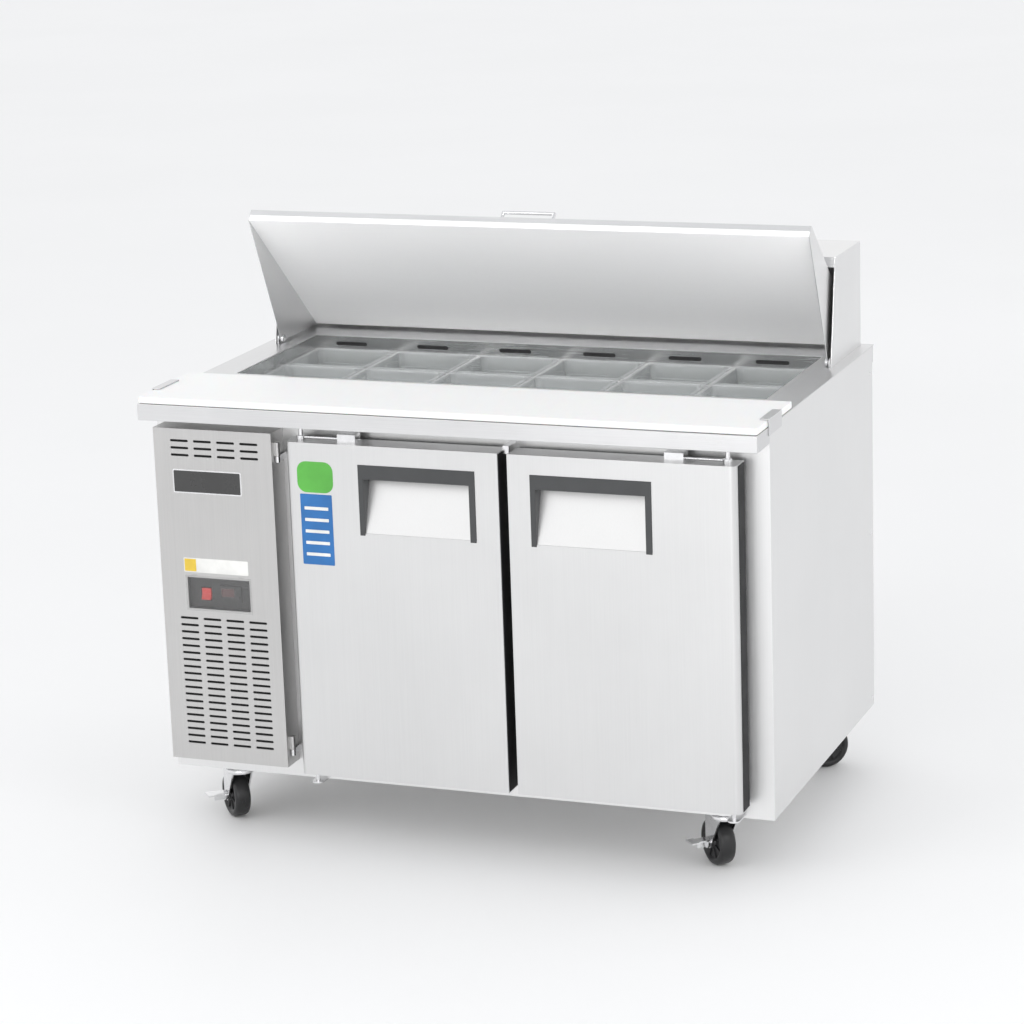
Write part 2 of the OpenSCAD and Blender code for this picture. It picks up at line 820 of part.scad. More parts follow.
module evaporator() {
    x = evap_x;
    y = evap_y;
    z = evap_z;
    case_d = 65;
    color([0.75, 0.77, 0.78]) {
        // Case, open at the back, with the fan's round opening in front
        difference() {
            block([x[0], y, z[0]], [x[1], y + case_d, z[1]]);
            block([x[0] + 2, y + 2, z[0] + 2], [x[1] - 2, y + case_d + 1, z[1] - 2]);
            bar([evap_fan_x, y - 1, evap_fan_z], 1, 6, evap_fan_r + 4);
        }
        // Finned core with its tubes' bends at the sides
        union() {
            block([x[0] + 20, y + 30, z[0] + 10], [x[1] - 20, y + case_d - 2, z[1] - 10]);
            for (tube_z = [z[0] + 22:25:z[1]])
                bar([x[0] + 10, y + 46, tube_z], 0, x[1] - x[0] - 20, 4);
        }
        // Fan motor and its shaft
        bar([evap_fan_x, y + 20, evap_fan_z], 1, 9, 22);
        bar([evap_fan_x, y + 1, evap_fan_z], 1, 19, 3);
        // Drip tray
        difference() {
            block([x[0] - 5, y - 5, z[0] - 14], [x[1] + 5, cold_back_y - 3, z[0]]);
            block([x[0] - 3, y - 3, z[0] - 12], [x[1] + 3, cold_back_y - 5, z[0] + 1]);
        }
    }
}

module evaporator_fan() { fan(evap_fan_x, evap_y - 1, evap_fan_z, evap_fan_r, 5, 3); }

module shelves() {
    y0 = cold_front_y + 12;
    y1 = cold_back_y - 20;
    right = side_x - sheet - foam_t;
    clip = 8;
    for (x = [[cold_x + 12, 98], [118, right - 12]]) color(WHITE) union() {
        for (y = [y0, (y0 + y1) / 2, y1]) bar([x[0], y, shelf_z], 0, x[1] - x[0], rod_r);
        for (end = x) bar([end, y0 - 3, shelf_z], 1, y1 - y0 + 6, rod_r);
        for (i = [1:shelf_wires])
            bar([x[0] + i * (x[1] - x[0]) / (shelf_wires + 1), y0 - 2, shelf_z + 4], 1,
                y1 - y0 + 4, wire_r);
    }
    // Clips under the shelf ends
    color(STEEL) for (x = [cold_x + liner_t, right - liner_t - clip], y = [-200, 220])
        block([x, y, shelf_z - 13], [x + clip, y + 20, shelf_z - rod_r - gap]);
}

// ---------- Casters ----------

function caster_at(i) = [[-caster_x, caster_x, -caster_x, caster_x][i],
                         i < 2 ? caster_front_y : caster_back_y];
function caster_turn(i) = i < 2 ? front_trail_angle : rear_trail_angle;

// Places children drawn with the swivel axis on Z and the wheel trailing along +X
module caster_place(i) {
    p = caster_at(i);
    translate([p[0], p[1], 0]) rotate([0, 0, caster_turn(i)]) children();
}

module caster_plates() {
    color(CHROME) for (i = [0:3]) translate([caster_at(i)[0], caster_at(i)[1], 0]) difference() {
        union() {
            translate([0, 0, floor_z - 3]) linear_extrude(3) round_rect(92, 70, 6);
            translate([0, 0, floor_z - 10]) cylinder(h = 8, r = 24);
            translate([0, 0, floor_z - 20]) cylinder(h = 11, r = kingpin_r);
            translate([0, 0, floor_z - 23]) cylinder(h = 3, r = 10);
        }
        for (x = [-37, 37], y = [-26, 26])
            translate([x, y, floor_z - 4]) cylinder(h = 5, r = 4);
    }
}

module caster_fork(i) {
    half = fork_gap / 2;
    crown = floor_z - 20 + gap;
    color(CHROME) caster_place(i) {
        difference() {
            union() {
                translate([0, 0, crown]) cylinder(h = 9, r = 26);
                translate([0, -half - fork_t, crown]) cube([trail - 4, 2 * (half + fork_t), 3]);
                for (s = [-1, 1]) fork_leg(s, crown);
            }
            translate([0, 0, crown - 1]) cylinder(h = 20, r = kingpin_r + play);
        }
        // Axle bolt, longer on the side that carries a brake lever
        translate([trail, -half - fork_t - 3, axle_z]) rotate([-90, 0, 0])
            cylinder(h = 2 * (half + fork_t) + (i < 2 ? 8 : 6), r = axle_r);
    }
}

// One side plate of a fork, from the crown down to the axle
module fork_leg(side, crown) {
    half = fork_gap / 2;
    translate([0, side > 0 ? half + fork_t : -half, 0]) rotate([90, 0, 0])
        linear_extrude(fork_t) difference() {
            union() {
                polygon([[-14, crown], [trail - 4, crown], [trail - 4, crown + 3],
                         [-14, crown + 3]]);
                polygon([[-14, crown + 1], [trail + 12, crown + 1], [trail + 11, axle_z],
                         [trail - 11, axle_z]]);
                translate([trail, axle_z]) circle(r = 11);
            }
            translate([trail, axle_z]) circle(r = axle_r);
        }
}

module caster_wheel(i) {
    r = wheel_d / 2;
    color(BLACK) caster_place(i) translate([trail, 0, axle_z]) rotate([90, 0, 0])
        rotate_extrude($fn = 96) difference() {
            union() {
                translate([0, -wheel_w / 2]) square([r - 5, wheel_w]);
                translate([0, -wheel_w / 2 + 5]) square([r, wheel_w - 10]);
                for (s = [-1, 1]) translate([r - 5, s * (wheel_w / 2 - 5)]) circle(r = 5);
                translate([0, -wheel_w / 2 - 1]) square([10, wheel_w + 2]);
            }
            translate([-1, -wheel_w]) square([axle_r + play + 1, 2 * wheel_w]);
            for (s = [-1, 1])
                translate([12, s > 0 ? wheel_w / 2 - 4 : -wheel_w / 2 - 1]) square([r - 24, 5]);
        }
}

// Side-lock lever on the outer end of the axle: a ring round the bolt, a foot plate that
// stands out sideways and a web under it
module caster_brake(i) {
    y0 = fork_gap / 2 + fork_t + gap;
    color(CHROME) caster_place(i) translate([trail, y0, axle_z]) difference() {
        union() {
            bar([0, 0, 0], 1, 5, 10);
            block([-10, 0, 5], [10, 36, 8]);
            block([-14, 24, 5], [14, 40, 8]);
            block([-1.5, 5, -8], [1.5, 24, 6]);
        }
        bar([0, -1, 0], 1, 5.9, axle_r + play);
    }
}

// Inlet for the mains lead, low on the back of the machine compartment
module power_inlet() {
    x = -300;
    z = 180;
    color(BLACK) difference() {
        block([x - 25, back_y, z - 18], [x + 25, back_y + 10, z + 18]);
        block([x - 14, back_y + 3, z - 10], [x + 14, back_y + 11, z + 10]);
    }
}

cabinet_shell();
insulation();
cabinet_liner();
counter_top();
pan_well();
pan_dividers();
rear_hood();
cutting_board();
board_clips();
hinge_brackets();
lid_shell();
lid_liner();
lid_pins();
lid_handle();
left_door_skin();
left_door_liner();
left_door_gasket();
left_door_handle();
left_door_hinge();
right_door_skin();
right_door_liner();
right_door_gasket();
right_door_handle();
right_door_hinge();
machine_panel();
control_box();
control_cover();
rocker_switch();
temperature_controller();
controller_button();
power_inlet();
compressor();
condenser();
condenser_fan();
evaporator();
evaporator_fan();
shelves();
caster_plates();
for (i = [0:3]) {
    caster_fork(i);
    caster_wheel(i);
}
for (i = [0:1])
    caster_brake(i);
for (n = [1:12])
    pan(n);
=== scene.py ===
import json
import math

import bmesh
import bpy
from mathutils import Matrix, Vector


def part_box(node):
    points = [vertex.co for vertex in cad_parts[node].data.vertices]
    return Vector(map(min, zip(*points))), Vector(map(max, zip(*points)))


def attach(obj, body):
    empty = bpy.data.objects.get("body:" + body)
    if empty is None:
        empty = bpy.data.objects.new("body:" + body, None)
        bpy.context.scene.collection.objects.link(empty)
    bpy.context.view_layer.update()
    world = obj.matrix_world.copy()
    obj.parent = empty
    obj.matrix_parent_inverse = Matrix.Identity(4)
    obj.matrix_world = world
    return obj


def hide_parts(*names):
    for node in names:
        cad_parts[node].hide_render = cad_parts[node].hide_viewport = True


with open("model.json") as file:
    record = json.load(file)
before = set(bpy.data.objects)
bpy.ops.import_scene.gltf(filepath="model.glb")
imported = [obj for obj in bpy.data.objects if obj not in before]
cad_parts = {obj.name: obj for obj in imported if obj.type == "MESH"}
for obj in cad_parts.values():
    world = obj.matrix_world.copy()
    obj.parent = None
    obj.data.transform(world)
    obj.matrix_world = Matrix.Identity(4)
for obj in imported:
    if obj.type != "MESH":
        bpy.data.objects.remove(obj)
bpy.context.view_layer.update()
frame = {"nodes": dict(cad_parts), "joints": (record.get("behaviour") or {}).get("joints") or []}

NODES = frame["nodes"]
JOINTS = {joint["name"]: joint for joint in frame["joints"]}
SIDES = ("left", "right")
CASTERS = ("fl", "fr", "rl", "rr")
PANS = [f"pan_{n}" for n in range(1, 13)]


# ---------------------------------------------------------------- materials


def principled(name, **values):
    """A material and its Principled shader; values are sockets, with _ for a space."""
    mat = bpy.data.materials.new(name)
    mat.use_nodes = True
    shader = mat.node_tree.nodes["Principled BSDF"]
    for key, value in values.items():
        shader.inputs[key.replace("_", " ")].default_value = value
    return mat, shader


def add(mat, kind, inputs, **settings):
    """A shader node whose inputs are values or other nodes' sockets."""
    made = mat.node_tree.nodes.new("ShaderNode" + kind)
    for key, value in settings.items():
        setattr(made, key, value)
    for key, value in inputs.items():
        if isinstance(value, bpy.types.NodeSocket):
            mat.node_tree.links.new(value, made.inputs[key])
        else:
            made.inputs[key].default_value = value
    return made


def link(mat, socket, target):
    """Joins a node's output to a shader's input."""
    mat.node_tree.links.new(socket, target)


def place(mat, scale):
    """Object coordinates, stretched by a scale for each axis."""
    here = add(mat, "TexCoord", {}).outputs["Object"]
    return add(mat, "Mapping", {"Vector": here, "Scale": scale}).outputs["Vector"]


def noise(mat, scale, detail=4.0):
    """The factor of a noise texture, stretched by a scale for each axis."""
    at = place(mat, scale)
    made = add(mat, "TexNoise", {"Vector": at, "Scale": 1.0, "Detail": detail, "Roughness": 0.6})
    return made.outputs["Fac"]


def spread(mat, factor, low, high):
    """A noise factor of about 0.3 to 0.7, spread from low to high."""
    limits = {"From Min": 0.3, "From Max": 0.7, "To Min": low, "To Max": high}
    return add(mat, "MapRange", {"Value": factor, **limits}).outputs["Result"]


def shade(mat, factor, dark, light, start=0.3, end=0.7):
    """A colour that runs from dark to light with the factor."""
    ramp = add(mat, "ValToRGB", {"Fac": factor})
    for stop, at, colour in zip(ramp.color_ramp.elements, (start, end), (dark, light)):
        stop.position = at
        stop.color = (*colour, 1)
    return ramp.outputs["Color"]


def bump(mat, shader, height, strength, distance):
    """Gives the shader a relief of the distance, in metres."""
    made = add(mat, "Bump", {"Height": height, "Strength": strength, "Distance": distance})
    link(mat, made.outputs["Normal"], shader.inputs["Normal"])


def toned(colour, share):
    """A colour made darker or lighter by a share."""
    return tuple(min(1.0, c * share) for c in colour)


def brushed(name, colour, grain, roughness=0.3, contrast=0.05, metal=1.0):
    """Stainless sheet, brushed along the axis named by grain, with faint smudges in its gloss."""
    mat, shader = principled(name, Metallic=metal)
    stretch = [900.0, 900.0, 900.0]
    stretch["XYZ".index(grain)] = 5.0
    lines = noise(mat, stretch, detail=3.0)
    clouds = noise(mat, (3.0, 3.0, 3.0), detail=5.0)
    both = add(mat, "Math", {0: lines, 1: clouds}, operation="ADD").outputs[0]
    half = add(mat, "Math", {0: both, 1: 0.5}, operation="MULTIPLY").outputs[0]
    tint = shade(mat, half, toned(colour, 1 - contrast), toned(colour, 1 + contrast), 0.36, 0.64)
    link(mat, tint, shader.inputs["Base Color"])
    link(mat, spread(mat, half, roughness - 0.07, roughness + 0.09), shader.inputs["Roughness"])
    bump(mat, shader, lines, 0.18, 0.00005)
    return mat


def spangled(name, colour):
    """Zinc or aluminium sheet with a soft crystal pattern."""
    mat, shader = principled(name, Metallic=1.0)
    cells = add(mat, "TexVoronoi", {"Vector": place(mat, (70.0, 70.0, 70.0)), "Scale": 1.0})
    grey = add(mat, "RGBToBW", {"Color": cells.outputs["Color"]}).outputs["Val"]
    link(mat, shade(mat, grey, toned(colour, 0.9), toned(colour, 1.06)), shader.inputs["Base Color"])
    link(mat, spread(mat, grey, 0.36, 0.48), shader.inputs["Roughness"])
    bump(mat, shader, noise(mat, (400.0, 400.0, 400.0)), 0.1, 0.00004)
    return mat


def plated(name, colour, roughness=0.16):
    """Bright zinc or chrome plate, a little cloudy."""
    mat, shader = principled(name, Metallic=1.0)
    clouds = noise(mat, (60.0, 60.0, 60.0), detail=6.0)
    link(mat, shade(mat, clouds, toned(colour, 0.86), toned(colour, 1.03)), shader.inputs["Base Color"])
    link(mat, spread(mat, clouds, roughness - 0.06, roughness + 0.12), shader.inputs["Roughness"])
    bump(mat, shader, noise(mat, (700.0, 700.0, 700.0), detail=2.0), 0.08, 0.00004)
    return mat


def moulded(name, colour, roughness=0.45, grain=1500.0, depth=0.00006, **values):
    """Moulded plastic or rubber with a fine grain and slight uneven tone."""
    mat, shader = principled(name, **values)
    clouds = noise(mat, (14.0, 14.0, 14.0), detail=5.0)
    link(mat, shade(mat, clouds, toned(colour, 0.86), toned(colour, 1.12)), shader.inputs["Base Color"])
    link(mat, spread(mat, clouds, roughness - 0.06, roughness + 0.07), shader.inputs["Roughness"])
    bump(mat, shader, noise(mat, (grain, grain, grain), detail=2.0), 0.35, depth)
    return mat


def board_plastic():
    """White polyethylene with the faint crossing marks that knives leave."""
    mat, shader = principled("board_white", Subsurface_Weight=0.15, Subsurface_Scale=0.004)
    across = noise(mat, (9.0, 500.0, 500.0), detail=3.0)
    along = noise(mat, (420.0, 16.0, 420.0), detail=3.0)
    marks = add(mat, "Math", {0: across, 1: along}, operation="MULTIPLY").outputs[0]
    scored = shade(mat, marks, (0.93, 0.93, 0.92), (0.88, 0.88, 0.87), 0.30, 0.52)
    link(mat, scored, shader.inputs["Base Color"])
    link(mat, spread(mat, across, 0.42, 0.58), shader.inputs["Roughness"])
    bump(mat, shader, marks, 0.25, 0.00015)
    return mat


def clear_plastic(name, tint, roughness, alpha):
    """Clear polycarbonate with a trace of rubbing haze."""
    mat, shader = principled(name, Alpha=alpha, IOR=1.58)
    haze = noise(mat, (35.0, 35.0, 35.0), detail=6.0)
    link(mat, shade(mat, haze, toned(tint, 0.97), tint), shader.inputs["Base Color"])
    link(mat, spread(mat, haze, max(0.0, roughness - 0.03), roughness + 0.05), shader.inputs["Roughness"])
    bump(mat, shader, noise(mat, (220.0, 220.0, 220.0), detail=2.0), 0.05, 0.00003)
    return mat


def foam():
    """Rigid foam between the sheets, seen in the machine compartment."""
    mat, shader = principled("wall_foam")
    at = place(mat, (900.0, 900.0, 900.0))
    cells = add(mat, "TexVoronoi", {"Vector": at, "Scale": 1.0}).outputs["Distance"]
    link(mat, shade(mat, cells, (0.70, 0.60, 0.38), (0.84, 0.76, 0.54)), shader.inputs["Base Color"])
    link(mat, spread(mat, cells, 0.8, 0.95), shader.inputs["Roughness"])
    bump(mat, shader, cells, 0.5, 0.0003)
    return mat


def enamel(name, colour, roughness=0.35):
    """Paint or coating over metal, with a light orange peel."""
    mat, shader = principled(name, Coat_Weight=0.4, Coat_Roughness=0.2)
    clouds = noise(mat, (25.0, 25.0, 25.0), detail=5.0)
    link(mat, shade(mat, clouds, toned(colour, 0.9), toned(colour, 1.08)), shader.inputs["Base Color"])
    link(mat, spread(mat, clouds, roughness - 0.05, roughness + 0.08), shader.inputs["Roughness"])
    bump(mat, shader, noise(mat, (260.0, 260.0, 260.0), detail=2.0), 0.15, 0.0001)
    return mat


STEEL = (0.69, 0.69, 0.695)
# These brushed looks are all one stainless steel. Their base colours are set apart as painted light and
# shade: the side, lid and hood are lighter copies, the machine panel a darker one.
LOOKS = {
    "door": brushed("steel_door", (0.68, 0.68, 0.68), "Z", 0.36, 0.03),
    "side": brushed("steel_side", (0.78, 0.78, 0.78), "Z", 0.38, 0.03),
    # The machine panel's steel is darker as painted shade, for the shadow under the counter's overhang.
    "machine": brushed("steel_machine_painted_shade", (0.56, 0.555, 0.55), "Z", 0.38, 0.05),
    "counter": brushed("steel_counter", STEEL, "X", 0.32),
    "well": brushed("steel_well", (0.66, 0.66, 0.66), "X", 0.24),
    "lid": brushed("steel_lid", (0.80, 0.80, 0.80), "X", 0.34, 0.03),
    # The lid's inside is painted light: its steel is given as a bright matte white with no metal, so that it
    # looks lit.
    "lid_inside": brushed("steel_lid_inside_painted_light", (0.95, 0.95, 0.95), "X", 0.5, 0.015, 0.0),
    "hood": brushed("steel_hood", (0.80, 0.80, 0.80), "X", 0.34),
    "liner": spangled("liner_sheet", (0.72, 0.73, 0.74)),
    "fins": spangled("fin_sheet", (0.66, 0.68, 0.70)),
    "chrome": plated("bright_plate", (0.83, 0.83, 0.84)),
    "board": board_plastic(),
    "gasket": moulded("gasket_rubber", (0.008, 0.008, 0.009), 0.65, 900.0),
    "handle": moulded("handle_plastic", (0.05, 0.052, 0.054), 0.45, 1300.0),
    "black": moulded("black_plastic", (0.02, 0.02, 0.021), 0.4),
    "red": moulded("red_plastic", (0.62, 0.018, 0.012), 0.25, 1500.0, 0.00002, Coat_Weight=0.4),
    "tyre": moulded("tyre_rubber", (0.014, 0.014, 0.015), 0.32, 700.0),
    "pan": clear_plastic("pan_plastic", (0.86, 0.89, 0.89), 0.06, 0.3),
    "cover": clear_plastic("cover_plastic", (0.5, 0.5, 0.5), 0.2, 0.1),
    "filter": moulded("filter_mat", (0.006, 0.006, 0.006), 0.9, 500.0, 0.0004),
    "screen": moulded("screen_plastic", (0.06, 0.006, 0.006), 0.12, 1500.0, 0.00001, Coat_Weight=1.0),
    "wire": enamel("wire_coating", (0.86, 0.86, 0.84)),
    "paint": enamel("compressor_paint", (0.016, 0.016, 0.017), 0.3),
    "foam": foam(),
    "copper": plated("copper_tube", (0.78, 0.38, 0.24), 0.24),
    "label": moulded("label_paper", (0.78, 0.78, 0.76), 0.5, 900.0, 0.00003),
    "label_yellow": moulded("label_yellow", (0.78, 0.55, 0.06), 0.5, 900.0, 0.00003),
    "label_blue": moulded("label_blue", (0.02, 0.15, 0.42), 0.4, 900.0, 0.00003),
    "label_green": moulded("label_green", (0.10, 0.42, 0.06), 0.4, 900.0, 0.00003),
    "plate": moulded("plate_enamel", (0.03, 0.03, 0.03), 0.28, 900.0, 0.00003, Coat_Weight=0.5),
}

# Each CAD node's look and the width of its rounded edges
FINISHES = {
    "cabinet_shell": ("side", 0.0006),
    "insulation": ("foam", 0.0006),
    "cabinet_liner": ("liner", 0.0004),
    "counter_top": ("counter", 0.0012),
    "pan_well": ("well", 0.0007),
    "pan_dividers": ("well", 0.0008),
    "rear_hood": ("hood", 0.0007),
    "cutting_board": ("board", 0.0022),
    "board_clips": ("counter", 0.0008),
    "hinge_brackets": ("chrome", 0.0005),
    "lid_shell": ("lid", 0.0006),
    "lid_liner": ("lid_inside", 0.0004),
    "lid_pins": ("chrome", 0.0004),
    "lid_handle": ("chrome", 0.0),
    "machine_panel": ("machine", 0.0005),
    "control_box": ("black", 0.0006),
    "control_cover": ("cover", 0.0004),
    "rocker_switch": ("red", 0.0006),
    "temperature_controller": ("black", 0.0006),
    "controller_button": ("handle", 0.0004),
    "power_inlet": ("black", 0.0008),
    "compressor": ("paint", 0.0012),
    "condenser": ("fins", 0.0004),
    "condenser_fan": ("black", 0.0003),
    "evaporator": ("fins", 0.0004),
    "evaporator_fan": ("black", 0.0003),
    "shelves": ("wire", 0.0),
    "caster_plates": ("chrome", 0.0005),
    **{f"{side}_door_skin": ("door", 0.0006) for side in SIDES},
    **{f"{side}_door_liner": ("liner", 0.0010) for side in SIDES},
    **{f"{side}_door_gasket": ("gasket", 0.0025) for side in SIDES},
    **{f"{side}_door_handle": ("handle", 0.0009) for side in SIDES},
    **{f"{side}_door_hinge": ("chrome", 0.0004) for side in SIDES},
    **{f"caster_{end}_fork": ("chrome", 0.0006) for end in CASTERS},
    **{f"caster_{end}_brake": ("chrome", 0.0008) for end in CASTERS[:2]},
}


def finish_node(name, look, edge):
    """Gives a CAD node its material, rounded edges and clean shading."""
    obj = NODES[name]
    mesh = obj.data
    mesh.materials.clear()
    mesh.materials.append(LOOKS[look])
    if "custom_normal" in mesh.attributes:
        mesh.attributes.remove(mesh.attributes["custom_normal"])
    mesh.shade_smooth()
    weld = obj.modifiers.new("weld", "WELD")
    weld.merge_threshold = 0.00001
    if edge:
        flat = obj.modifiers.new("flat_faces", "DECIMATE")
        flat.decimate_type = "DISSOLVE"
        flat.angle_limit = math.radians(0.4)
        round_off = obj.modifiers.new("edges", "BEVEL")
        round_off.width = edge
        round_off.segments = 2
        round_off.limit_method = "ANGLE"
        round_off.angle_limit = math.radians(35)
    obj.modifiers.new("normals", "WEIGHTED_NORMAL").keep_sharp = True


for node_name, (look_name, edge_width) in FINISHES.items():
    finish_node(node_name, look_name, edge_width)


# ---------------------------------------------------------------- mesh tools


def piece(name, bm, look, body):
    """A new piece from a bmesh, which rides on a body."""
    bmesh.ops.recalc_face_normals(bm, faces=bm.faces)
    mesh = bpy.data.meshes.new(name)
    bm.to_mesh(mesh)
    bm.free()
    mesh.materials.append(LOOKS[look])
    mesh.shade_smooth()
    mesh.set_sharp_from_angle(angle=math.radians(40))
    obj = bpy.data.objects.new(name, mesh)
    bpy.context.scene.collection.objects.link(obj)
    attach(obj, body)
    return obj


def skin(bm, rings):
    """Joins rings of as many points each into a surface and caps both ends."""
    rows = [[bm.verts.new(p) for p in ring] for ring in rings]
    count = len(rows[0])
    for low, high in zip(rows, rows[1:]):
        for i in range(count):
            j = (i + 1) % count
            bm.faces.new((low[i], low[j], high[j], high[i]))
    bm.faces.new(rows[0][::-1])
    bm.faces.new(rows[-1])


def turned(bm, profile, at, axis, steps=32):
    """A turned shape: profile holds (distance along the axis, radius) from end to end."""
    turn = Vector((0, 0, 1)).rotation_difference(Vector(axis)).to_matrix()
    rings = []
    for along, radius in profile:
        ring = []
        for i in range(steps):
            angle = 2 * math.pi * i / steps
            point = Vector((radius * math.cos(angle), radius * math.sin(angle), along))
            ring.append(at + turn @ point)
        rings.append(ring)
    skin(bm, rings)


def rounded_ring(centre, half_w, half_d, radius, z, steps=6):
    """Points round a rectangle with rounded corners, at height z."""
    points = []
    for sx, sy, start in ((1, 1, 0), (-1, 1, 90), (-1, -1, 180), (1, -1, 270)):
        for i in range(steps + 1):
            angle = math.radians(start + 90 * i / steps)
            points.append(Vector((centre[0] + sx * (half_w - radius) + radius * math.cos(angle),
                                  centre[1] + sy * (half_d - radius) + radius * math.sin(angle), z)))
    return points


def plate(bm, low, high, corner, edge):
    """A thin sheet that faces -Y, with rounded corners and a softened front edge."""
    rings = []
    half_w, half_h = (high.x - low.x) / 2, (high.z - low.z) / 2
    middle = ((low.x + high.x) / 2, (low.z + high.z) / 2)
    for y, inset in ((high.y, 0), (low.y + edge, 0), (low.y, edge)):
        flat = rounded_ring(middle, half_w - inset, half_h - inset, corner - inset, 0)
        rings.append([Vector((p.x, y, p.y)) for p in flat])
    skin(bm, rings)


def tube(name, points, radius, look, body):
    """A bent tube through the points."""
    curve = bpy.data.curves.new(name, "CURVE")
    curve.dimensions = "3D"
    curve.bevel_depth = radius
    curve.bevel_resolution = 4
    curve.resolution_u = 10
    curve.use_fill_caps = True
    line = curve.splines.new("BEZIER")
    line.bezier_points.add(len(points) - 1)
    for knot, point in zip(line.bezier_points, points):
        knot.co = point
        knot.handle_left_type = knot.handle_right_type = "AUTO"
    curve.materials.append(LOOKS[look])
    obj = bpy.data.objects.new(name, curve)
    bpy.context.scene.collection.objects.link(obj)
    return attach(obj, body)


# ---------------------------------------------------------------- food pans


def food_pan(name):
    """A clear pan with tapered walls, a rounded floor and a rolled rim, in place of its plain solid."""
    low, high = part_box(name)
    centre = ((low.x + high.x) / 2, (low.y + high.y) / 2)
    half_w, half_d = (high.x - low.x) / 2, (high.y - low.y) / 2
    lip, wall, taper = 0.008, 0.0022, 0.005
    depth = high.z - low.z

    def ring(inset, height, radius):
        return rounded_ring(centre, half_w - inset, half_d - inset, radius, low.z + height)

    outside = [(lip + taper + 0.010, 0.0, 0.012), (lip + taper + 0.004, 0.0012, 0.014),
               (lip + taper + 0.001, 0.005, 0.016), (lip + taper * 0.7, 0.024, 0.016),
               (lip + taper * 0.6, depth * 0.7, 0.016), (lip + 0.0012, depth * 0.72, 0.016),
               (lip + 0.0006, depth - 0.005, 0.015), (lip - 0.0008, depth - 0.0022, 0.014)]
    rim = [(0.0008, depth - 0.0022, 0.011), (0.0, depth - 0.0015, 0.011), (0.0, depth - 0.0006, 0.011),
           (0.0007, depth, 0.011), (lip - 0.0005, depth, 0.012), (lip + wall - 0.001, depth - 0.0008, 0.012)]
    inside = [(lip + wall + 0.0006, depth - 0.005, 0.012), (lip + wall + 0.0012, depth * 0.72, 0.012),
              (lip + wall + taper * 0.6, depth * 0.7, 0.012), (lip + wall + taper * 0.8, 0.024, 0.012),
              (lip + wall + taper + 0.001, 0.008, 0.012), (lip + wall + taper + 0.005, wall + 0.0012, 0.010),
              (lip + wall + taper + 0.012, wall, 0.008)]
    bm = bmesh.new()
    skin(bm, [ring(*step) for step in outside + rim + inside])
    made = piece(f"{name}_clear", bm, "pan", name)
    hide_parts(name)


for pan_name in PANS:
    food_pan(pan_name)


def air_slots():
    """A black sheet behind the slots in the well's rear wall, one behind each pan of the rear row: painted
    shade for the dark ducts behind the slots.
    """
    bm = bmesh.new()
    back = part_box("pan_well")[1].y
    for name in PANS[:6]:
        low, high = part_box(name)
        middle = (low.x + high.x) / 2
        plate(bm, Vector((middle - 0.052, back - 0.0012, high.z - 0.004)),
              Vector((middle + 0.052, back - 0.0002, high.z + 0.022)), 0.004, 0.0002)
    piece("air_slot_painted_shade", bm, "black", "cabinet")


air_slots()


# ---------------------------------------------------------------- casters


def caster_wheel(end):
    """A wheel with a crowned tread, dished sides, a hub and a row of moulded ribs."""
    joint = JOINTS[f"wheel_{end}_roll"]
    at, axis = Vector(joint["pos_m"]), Vector(joint["axis"]).normalized()
    low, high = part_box(f"caster_{end}_wheel")
    radius = (high.z - low.z) / 2
    half = 0.016
    side = [(half + 0.001, 0.0042), (half + 0.001, 0.009), (half - 0.0005, 0.0105),
            (half - 0.0045, 0.013), (half - 0.0045, radius - 0.015),
            (half - 0.001, radius - 0.0115), (half, radius - 0.010), (half - 0.0004, radius - 0.0055),
            (half - 0.0022, radius - 0.0022), (half - 0.006, radius - 0.0005)]
    profile = [(-along, r) for along, r in side] + [(0.0, radius)] + list(reversed(side))
    bm = bmesh.new()
    turned(bm, profile, at, axis, 64)
    across = axis.cross(Vector((0, 0, 1))).normalized()
    for face in (-1, 1):
        for i in range(8):
            angle = math.radians(45 * i + 20)
            out = across * math.cos(angle) + Vector((0, 0, 1)) * math.sin(angle)
            turn = out.cross(axis)
            middle = at + axis * face * (half - 0.0047)
            rings = []
            for r, thick, rise in ((0.0115, 0.0011, 0.003), (radius - 0.0145, 0.0016, 0.003)):
                corners = ((-thick, 0.0), (thick, 0.0), (thick * 0.6, rise), (-thick * 0.6, rise))
                rings.append([middle + out * r + turn * t + axis * face * h for t, h in corners])
            skin(bm, rings)
    made = piece(f"caster_{end}_tread", bm, "tyre", f"wheel_{end}")
    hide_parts(f"caster_{end}_wheel")


def caster_swivel(end):
    """Ball race above the fork, and the axle's nuts: one on a front caster, which has a brake."""
    swivel = JOINTS[f"caster_{end}_swivel"]
    roll = JOINTS[f"wheel_{end}_roll"]
    fork_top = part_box(f"caster_{end}_fork")[1].z
    top = Vector((swivel["pos_m"][0], swivel["pos_m"][1], fork_top))
    bm = bmesh.new()
    race = [(-0.0085, 0.0262), (-0.0085, 0.0284), (-0.0070, 0.0292), (-0.0030, 0.0292), (-0.0012, 0.0284),
            (-0.0008, 0.0262)]
    turned(bm, race, top, (0, 0, 1), 48)
    axis = Vector(roll["axis"]).normalized()
    at = Vector(roll["pos_m"])
    nut = [(0.0212, 0.0037), (0.0212, 0.0074), (0.0232, 0.0079), (0.0248, 0.0074), (0.0254, 0.0037)]
    if end in CASTERS[2:]:
        turned(bm, nut, at, axis, 6)
    turned(bm, nut, at, -axis, 6)
    piece(f"caster_{end}_race", bm, "chrome", f"caster_{end}")


for caster_end in CASTERS:
    caster_wheel(caster_end)
    caster_swivel(caster_end)


# ---------------------------------------------------------------- screws and bolts

